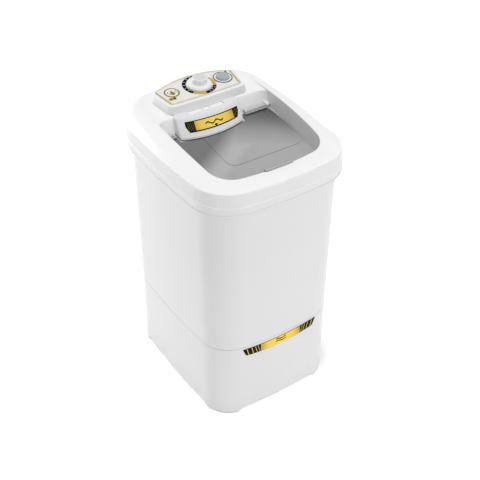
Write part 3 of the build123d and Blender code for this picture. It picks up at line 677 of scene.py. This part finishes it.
def add_hinge_boss(shell, side):
    """Rounded ear that holds a hinge pin, growing out of the back corner."""
    foot_z = 898

    def section(x, shrink):
        """Outline of the ear at one x, made smaller by shrink."""
        r = 8.5 - shrink
        points = [Vector((x, HINGE_Y + 26, foot_z)), Vector((x, HINGE_Y + 26, HINGE_Z + r))]
        points += [Vector((x, HINGE_Y + r * sin(radians(a)), HINGE_Z + r * cos(radians(a))))
                   for a in range(0, -181, -15)]
        points[-1] = Vector((x, HINGE_Y - r, foot_z))
        points[-2] = Vector((x, HINGE_Y - r, HINGE_Z - 4))
        return points

    inner, outer = 186.0, 206.0
    stack = [(inner, 1.4), (inner + 0.4, 0.5), (inner + 1.4, 0.0), (outer, 0.0)]
    rings = [section(side * x, shrink) for x, shrink in stack]
    rows = [shell.add(ring) for ring in rings]
    for a, b in zip(rows, rows[1:]):
        for k in range(len(a)):
            m = (k + 1) % len(a)
            shell.face((a[k], a[m], b[m], b[k]))
    shell.face(tuple(rows[0]))
    shell.face(tuple(reversed(rows[-1])))


# ---- lint filter box --------------------------------------------------------------------------
BOX_RISE = 0.5          # its top stands this far over the deck
BOX_REAR_Y = 127.4
BOX_CORNER = 9.0
CORNER_SHARE = 0.038    # part of the front that each rounded corner takes
CASSETTE_X, CASSETTE_Y = (-88.6, 40.6), (106.4, 123.6)      # opening for the cassette


def box_front(share, rise):
    """Point on the box's bowed front; share runs left to right, rise from foot to top."""
    x0 = -150.5 + 10 * rise
    x1 = 84.5 + 8 * rise
    front = 58 + 46 * rise
    bow = 22 - 10 * rise
    half = (x1 - x0) / 2
    radius = (half * half + bow * bow) / (2 * bow)
    u = (2 * share - 1) * half
    y = front - bow + radius - sqrt(radius * radius - u * u)
    foot = tilt_point((x0 + share * (x1 - x0), y), BOX_FOOT_Z0, LID_SLOPE)
    top = deck_point(x0 + share * (x1 - x0), y, BOX_RISE)
    return Vector((foot.x, foot.y, foot.z * (1 - rise) + top.z * rise))


def bend(a, b, c, count):
    """Points along a rounded corner from a to c round b, without the last one."""
    shares = [k / count for k in range(count)]
    return [a * (1 - t) ** 2 + b * 2 * t * (1 - t) + c * t * t for t in shares]


def box_outline(rise):
    """Outline of the box at one level, from its rear left corner round the front."""
    def flat(x, y):
        """Point in the outline's plane."""
        return Vector((x, y, 0))

    def front_at(share):
        """Point on the bowed front, seen from above."""
        return flat(*box_front(share, rise).xy)

    left, right = front_at(0), front_at(1)
    left_end, right_end = left.y + BOX_CORNER, right.y + BOX_CORNER
    points = [flat(left.x, BOX_REAR_Y - (BOX_REAR_Y - left_end) * k / 4) for k in range(4)]
    points += bend(flat(left.x, left_end), left, front_at(CORNER_SHARE), 8)
    points += [front_at(CORNER_SHARE + (1 - 2 * CORNER_SHARE) * k / 40) for k in range(40)]
    points += bend(front_at(1 - CORNER_SHARE), right, flat(right.x, right_end), 8)
    points += [flat(right.x, right_end + (BOX_REAR_Y - right_end) * k / 4) for k in range(5)]
    points += [flat(right.x + (left.x - right.x) * k / 12, BOX_REAR_Y) for k in range(1, 12)]
    return points


def build_filter_housing():
    """Box walls and top, with the opening for the cassette."""
    profiles = []
    for a, b in zip(box_outline(0.0), box_outline(1.0)):
        foot = tilt_point((a.x, a.y), BOX_FOOT_Z0, LID_SLOPE)
        top = deck_point(b.x, b.y, BOX_RISE)
        rim = deck_point(min(max(b.x, CASSETTE_X[0] - 6), CASSETTE_X[1] + 6),
                         min(max(b.y, CASSETTE_Y[0] - 5), CASSETTE_Y[1] + 3), BOX_RISE)
        edge = deck_point(min(max(b.x, CASSETTE_X[0]), CASSETTE_X[1]),
                          min(max(b.y, CASSETTE_Y[0]), CASSETTE_Y[1]), BOX_RISE)
        inward = Vector((0, 90 - foot.y, 0)).normalized()
        path = [foot + Vector((0, 0, 4)) + inward * 2.2, foot + inward * 1.2, foot, top, rim, edge,
                edge - Vector((0, 0, 9))]
        profiles.append(rounded(path, {2: 1.6, 3: 5.5, 5: 0.8}, 5))
    box = Builder()
    box.loft(profiles)
    box.finish("filter_box", "machine", ["body_white"], replaces=["filter_housing"])


# ---- printed graphics -------------------------------------------------------------------------
def ring_arc(centre, radius, a0, a1, step=4.0):
    """Points round a centre from angle a0 to a1 in degrees."""
    count = max(2, int(abs(a1 - a0) / step) + 1)
    angles = [radians(a0 + (a1 - a0) * k / (count - 1)) for k in range(count)]
    return [(centre[0] + radius * cos(a), centre[1] + radius * sin(a)) for a in angles]


KNOB = (4.0, 201.0)
BUTTON = (94.0, 201.0)
EMBLEM = (-97.0, 203.0)
PANEL_Z = 28.6          # console's top above the deck


def panel_at(x, y, lift):
    """A point over or on the console's film."""
    return deck_point(x, y, PANEL_Z + lift)


def build_dial_print():
    """Sector ring of the timer with white division marks."""
    ring = Builder()
    inner, outer = 44.0, 56.0
    black, gold, white = 0, 1, 2
    sectors = [(81, 217, black), (217, 266, gold), (266, 329, black), (329, 385, gold), (392, 437, black)]
    for a0, a1, slot in sectors:
        inside, outside = ring_arc(KNOB, inner, a0, a1), ring_arc(KNOB, outer, a0, a1)
        ring.band(inside, outside, panel_at, 0.1, 0.55, slot, False)
    half = 0.9
    for angle in (98, 115, 136, 157, 178, 197, 284, 300, 316, 344, 364, 404, 420):
        long_mark = angle in (115, 157, 197, 300)
        start = inner + (1.5 if long_mark else 4.5)
        inside = ring_arc(KNOB, start, angle - half, angle + half, 1)
        outside = ring_arc(KNOB, outer - 2.2, angle - half, angle + half, 1)
        ring.band(inside, outside, panel_at, 0.5, 0.75, white, False)
    ring.finish("dial_print", "machine", ["scale_print", "gold_print", "panel_print"], smooth=False,
                replaces=["dial_scale"])


def panel_edge(grow):
    """Closed outline of the console's film, anticlockwise from the front's middle."""
    front_x, rear_x = 141 + grow, 153 + grow
    front, rear, shoulder = 131 - grow, 271 + grow, 230
    c1, c2 = 18 + grow, 14 + grow
    front_arc = circle_through((-front_x, front + 3), (0, front), (front_x, front + 3))
    dx, dy = rear_x - front_x, shoulder - front - 3
    size = hypot(dx, dy)
    mid = ((front_x + rear_x) / 2, (front + 3 + shoulder) / 2)
    far = 1e5       # radius of the nearly straight end
    side_arc = ((mid[0] - dy / size * far, mid[1] + dx / size * far), far)
    rear_arc = circle_through((rear_x, shoulder), (0, rear), (-rear_x, shoulder))
    f1, t1, t2 = fillet_circle(front_arc, side_arc, c1, (front_x, front))
    f2, t4, t3 = fillet_circle(rear_arc, side_arc, c2, (rear_x, shoulder))
    half = arc_points(*front_arc, (0, front), t1, 12) + arc_points(f1, c1, t1, t2, 10)
    half += [(t2[0] + (t3[0] - t2[0]) * k / 8, t2[1] + (t3[1] - t2[1]) * k / 8) for k in range(8)]
    half += arc_points(f2, c2, t3, t4, 10) + arc_points(*rear_arc, t4, (0, rear), 16) + [(0, rear)]
    return half + [(-x, y) for x, y in reversed(half[1:-1])]


def build_panel_print():
    """Gold border lines round the film, set a little to the left of its middle."""
    def place(x, y, lift):
        return panel_at(0.985 * x - 2.5, y, lift)

    lines = Builder()
    for grow, width in ((-9.0, 1.3), (-13.2, 1.0)):
        lines.band(panel_edge(grow), panel_edge(grow - width), place, 0.05, 0.3)
    outer, inner = panel_edge(-8.2), panel_edge(-11.6)
    right_side, left_side = slice(20, 32), slice(-31, -19)      # wider bands up both sides
    for part in (right_side, left_side):
        lines.band(outer[part], inner[part], place, 0.3, 0.45, 0, False)
    lines.finish("panel_lines", "machine", ["line_gold"], smooth=False)


def build_emblem():
    """Round gold ring with a water drop, and a small flag below it."""
    ring_gold, white, black, flag_gold = range(4)
    art = Builder()
    cx, cy = EMBLEM
    art.plate(ring_arc(EMBLEM, 25.8, 0, 354, 6), panel_at, 0.1, 0.6, ring_gold)
    art.plate(ring_arc(EMBLEM, 21.0, 0, 354, 6), panel_at, 0.4, 0.75, white)
    drop = []
    for k in range(28):
        a = 2 * pi * k / 28
        drop.append((cx + 10.5 * sin(a) * sin(a / 2) ** 1.4, cy - 1.5 + 13 * cos(a)))
    art.plate(drop, panel_at, 0.6, 0.95, ring_gold)
    for k in (-1, 1):
        wave = [(cx + k * 13.5 + 3 * sin(t * 0.9), cy - 9 + t * 2.0) for t in range(10)]
        art.band(wave, [(x + 2.6, y) for x, y in wave], panel_at, 0.6, 0.9, ring_gold, False)
    fx, fy = cx - 15, cy - 32
    flag = [(fx - 13, fy - 7), (fx + 10, fy - 7), (fx + 14, fy), (fx + 10, fy + 7), (fx - 13, fy + 7)]
    tip = [(fx + 3, fy - 5), (fx + 9, fy - 5), (fx + 11.4, fy), (fx + 9, fy + 5), (fx + 3, fy + 5)]
    art.plate(flag, panel_at, 0.1, 0.7, flag_gold)
    art.plate(tip, panel_at, 0.6, 0.9, black)
    for k in range(3):
        y = fy - 4.4 + 3.6 * k
        bar = [(fx - 11, y), (fx - 1, y), (fx - 1, y + 1.4), (fx - 11, y + 1.4)]
        art.plate(bar, panel_at, 0.6, 0.9, black)
    slots = ["emblem_gold", "panel_print", "scale_print", "gold_print"]
    art.finish("emblem_print", "machine", slots, smooth=False, replaces=["console_emblem"])


def build_button_print():
    """Dark line round the start button and a small dot above it."""
    ring = Builder()
    inner, line, outer = [ring_arc(BUTTON, radius, 0, 356, 4) for radius in (22.6, 29.4, 32.0)]
    ring.band(line, outer, panel_at, 1.2, 1.7, 0)
    ring.band(inner, line, panel_at, 0.05, 1.5, 1)
    ring.plate(ring_arc((BUTTON[0] + 28, BUTTON[1] + 27), 3.6, 0, 350, 12), panel_at, 0.05, 0.5, 0)
    ring.finish("button_print", "machine", ["scale_print", "panel_print"], smooth=False,
                replaces=["button_bezel"])


# ---- badges -----------------------------------------------------------------------------------
PLATE_LIFT, FILM_LIFT, MARK_LIFT = 0.9, 1.25, 1.5       # heights of plate, gold and marks over the moulding


# Cabinet: half width and half depth at the floor, what is added up to the collar, and its bows.
BODY_HALF_W, BODY_HALF_D = 248.4, 296.9
BODY_WIDENS, BODY_DEEPENS = 6.1, 2.3
BODY_SIDE_BOW, BODY_END_BOW = 16.5, 20


def body_front(x, z, lift=0.0):
    """Point on the cabinet's bowed front, lifted outwards."""
    t = z / LIP_Z
    half_w = BODY_HALF_W + BODY_WIDENS * t
    half_d = BODY_HALF_D + BODY_DEEPENS * t
    side_x = half_w - BODY_SIDE_BOW
    radius = (side_x * side_x + BODY_END_BOW * BODY_END_BOW) / (2 * BODY_END_BOW)
    centre_y = -half_d + radius
    y = centre_y - sqrt(radius * radius - x * x)
    out = Vector((x, y - centre_y, 0)).normalized()
    return Vector((x, y, z)) + out * lift


def fill_strip(builder, low, high, place, lift, slot):
    """Curved thin plate between a lower and an upper line with matched points."""
    across = 6
    rows = []
    for (x0, z0), (x1, z1) in zip(low, high):
        steps = [(x0 + (x1 - x0) * k / across, z0 + (z1 - z0) * k / across) for k in range(across + 1)]
        rows.append(builder.add([place(x, z, lift) for x, z in steps]))
    base = []
    for a, b in zip(low, high):
        base.append(builder.add([place(*a, 0.0), place(*b, 0.0)]))
    for i in range(len(rows) - 1):
        for k in range(across):
            builder.face((rows[i][k], rows[i + 1][k], rows[i + 1][k + 1], rows[i][k + 1]), slot)
        builder.face((base[i][0], base[i + 1][0], rows[i + 1][0], rows[i][0]), slot)
        builder.face((base[i][1], base[i + 1][1], rows[i + 1][-1], rows[i][-1]), slot)
    for i in (0, -1):
        builder.face((base[i][0], *rows[i], base[i][1]), slot)


def between(builder, xs, foot, top, margin, place, lift, slot):
    """Curved thin plate between two curves, kept a margin inside them."""
    low = [(x, foot(x) + margin) for x in xs]
    high = [(x, top(x) - margin) for x in xs]
    fill_strip(builder, low, high, place, lift, slot)


def slanted_bar(builder, x, width, lean, low_z, high_z, place, lift, slot):
    """Narrow upright bar that leans towards one end."""
    sides = (x - width / 2, x + width / 2)
    low = [(side, low_z) for side in sides]
    high = [(side + lean, high_z) for side in sides]
    fill_strip(builder, low, high, place, lift, slot)


def wave_mark(builder, line, half, place, slot):
    """Wavy line of even thickness."""
    low, high = [[(x, z + offset) for x, z in line] for offset in (-half, half)]
    fill_strip(builder, low, high, place, MARK_LIFT, slot)


def build_front_badge():
    """Long plate on the parting line: gold middle, black louvred ends."""
    def top(x):
        return 290.6 + 3.4 * (x / 147) ** 2

    def foot(x):
        return 256.4 + 6.0 * (x / 126) ** 2 + 29 * smooth_step((abs(x) - 133) / 17)

    gold, black, bar_gold = range(3)
    plate = Builder()
    between(plate, [-147 + 3 * k for k in range(99)], foot, top, 0, body_front, PLATE_LIFT, black)
    between(plate, [-80 + 160 * k / 36 for k in range(37)], foot, top, 0.9, body_front, FILM_LIFT, gold)
    for side in (-1, 1):
        for k in range(4):
            x = side * (84 + 8 * k + 2 * k * k)
            lean = side * 7
            low_z, high_z = foot(x) + 2.4, top(x + lean) - 1.6
            slanted_bar(plate, x, 1.3 + 0.35 * k, lean, low_z, high_z, body_front, FILM_LIFT, bar_gold)
    for k in range(2):
        wave = [(-20 + 4 * t, 271 + 10 * k + 2.6 * sin(t * 0.75 + 0.6 * k)) for t in range(11)]
        wave_mark(plate, wave, 2.2, body_front, black)
    slots = ["front_gold", "scale_print", "gold_print"]
    plate.finish("front_plate", "machine", slots, smooth=False, replaces=["front_badge"])


def box_print(x, z, lift):
    """Point on the filter box's front from shares across and up, lifted outwards."""
    p = box_front(x, z)
    du = box_front(min(1, x + 0.01), z) - box_front(max(0, x - 0.01), z)
    dv = box_front(x, min(1, z + 0.02)) - box_front(x, max(0, z - 0.02))
    return p + du.cross(dv).normalized() * lift


def build_filter_badge():
    """Plate on the filter box, in shares of the box's front: gold middle, black ends with fine lines."""
    def top(s):
        return 0.80 - 0.05 * s

    def foot(s):
        return 0.28 + 0.30 * smooth_step((abs(s - 0.52) - 0.375) / 0.055)

    gold, black, dark_gold, line_gold = range(4)
    plate = Builder()
    between(plate, [0.10 + 0.01 * k for k in range(85)], foot, top, 0, box_print, PLATE_LIFT, black)
    between(plate, [0.23 + 0.61 * k / 36 for k in range(37)], foot, top, 0.045, box_print, FILM_LIFT, gold)
    for side in (-1, 1):
        for k in range(4):
            x = 0.535 + side * (0.32 + 0.025 * k)
            width, slot = (0.016, dark_gold) if k == 0 else (0.0018, line_gold)
            slanted_bar(plate, x, width, side * 0.012, foot(x) + 0.06, top(x) - 0.06, box_print, 1.2, slot)
    wave = [(0.38 + 0.028 * t, 0.52 + 0.06 * sin(t * 1.25)) for t in range(11)]
    wave_mark(plate, wave, 0.03, box_print, black)
    kite_foot = [(0.50, 0.37), (0.53, 0.32), (0.56, 0.37)]
    kite_top = [(0.50, 0.371), (0.53, 0.43), (0.56, 0.371)]
    fill_strip(plate, kite_foot, kite_top, box_print, MARK_LIFT, black)
    slots = ["box_gold", "scale_print", "gold_dark", "line_gold"]
    plate.finish("box_plate", "machine", slots, smooth=False, replaces=["filter_badge"])


# ---- edges and finish -------------------------------------------------------------------------
def soften(names, width):
    """Small rounded edges on CAD nodes, without changing their meshes."""
    for name in names:
        obj = NODES[name]
        weld = obj.modifiers.new("weld", "WELD")
        weld.merge_threshold = 1e-5
        mod = obj.modifiers.new("edge", "BEVEL")
        mod.width = width * MM
        mod.segments = 2
        mod.limit_method = "ANGLE"
        mod.angle_limit = radians(30)
        mod.harden_normals = True


make_materials()
add_camera()
add_stage()
dress_cad_nodes()
build_collar()
build_filter_housing()
build_dial_print()
build_panel_print()
build_emblem()
build_button_print()
build_front_badge()
build_filter_badge()
soften(["timer_knob", "knob_cap", "push_button", "control_panel", "filter_cassette"], 0.7)

bpy.context.view_layer.update()
